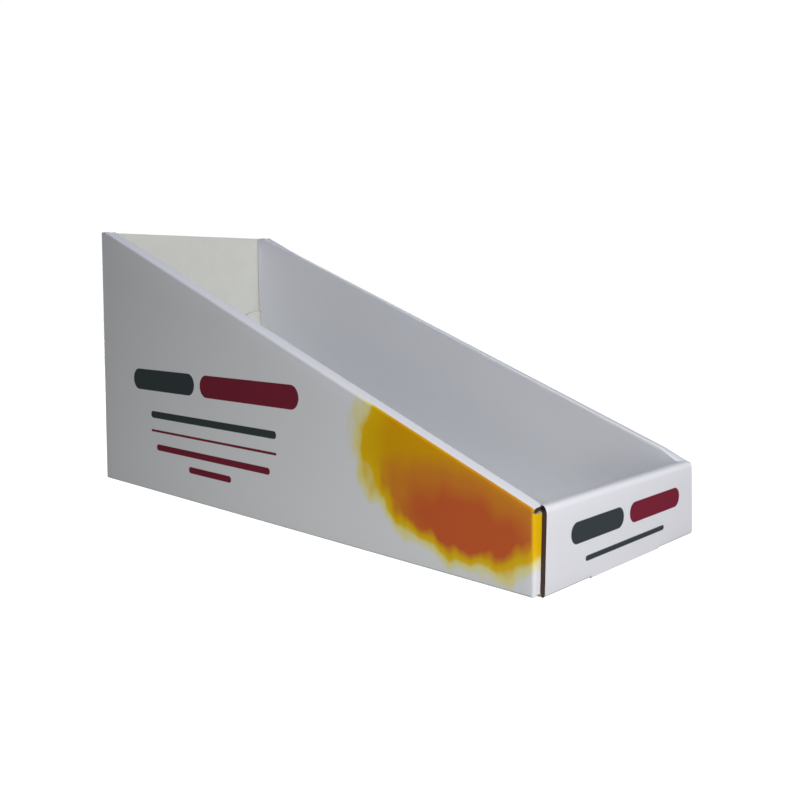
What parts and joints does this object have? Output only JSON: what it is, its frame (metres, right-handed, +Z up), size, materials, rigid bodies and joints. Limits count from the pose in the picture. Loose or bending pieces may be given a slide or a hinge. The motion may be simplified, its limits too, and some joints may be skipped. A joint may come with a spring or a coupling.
{
  "type": "display tray",
  "caption": "Open shelf display tray folded from one sheet of white board, with sloping roll-over side walls, a low rolled front and a tall single back.",
  "frame": {"origin": "centre of the base's underside, on the surface that the tray stands on", "axes": "+Z up, +Y from the low front to the tall back, X across the tray"},
  "size_m": [0.115, 0.3, 0.139],
  "materials": {
    "coated_board": "satin"
  },
  "bodies": {
    "root": {"display_tray": "coated_board"}
  },
  "joints": []
}
